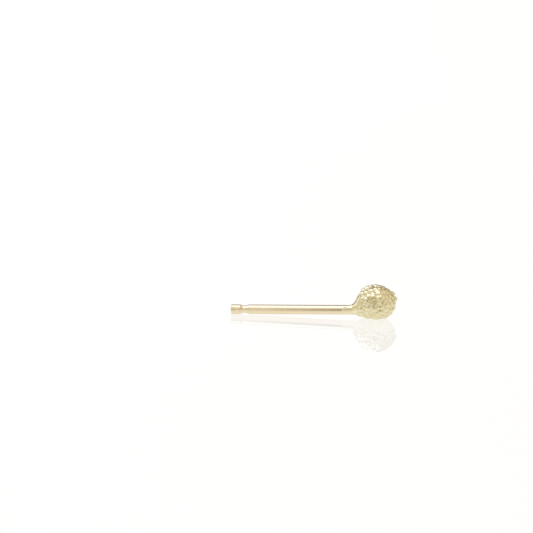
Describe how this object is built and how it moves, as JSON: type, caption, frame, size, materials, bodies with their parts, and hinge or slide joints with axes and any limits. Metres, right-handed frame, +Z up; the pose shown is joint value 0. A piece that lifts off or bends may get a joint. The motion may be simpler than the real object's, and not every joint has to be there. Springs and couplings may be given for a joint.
{
  "type": "ball stud earring",
  "caption": "Gold ball stud earring: a granulated ball, off-centre on a straight round post with a friction groove near its tip.",
  "frame": {"origin": "under the middle of the bounding box, on the surface that the stud lies on", "axes": "+X from the tip of the post to the ball, +Z up from the surface that the stud lies on, +Y to the left of +X"},
  "size_m": [0.0138, 0.003, 0.0029],
  "materials": {
    "gold": "pale yellow gold: a polished post, and a ball of polished fused granules with darker gaps between them"
  },
  "bodies": {
    "root": {"ball_stud": "gold"}
  },
  "joints": []
}
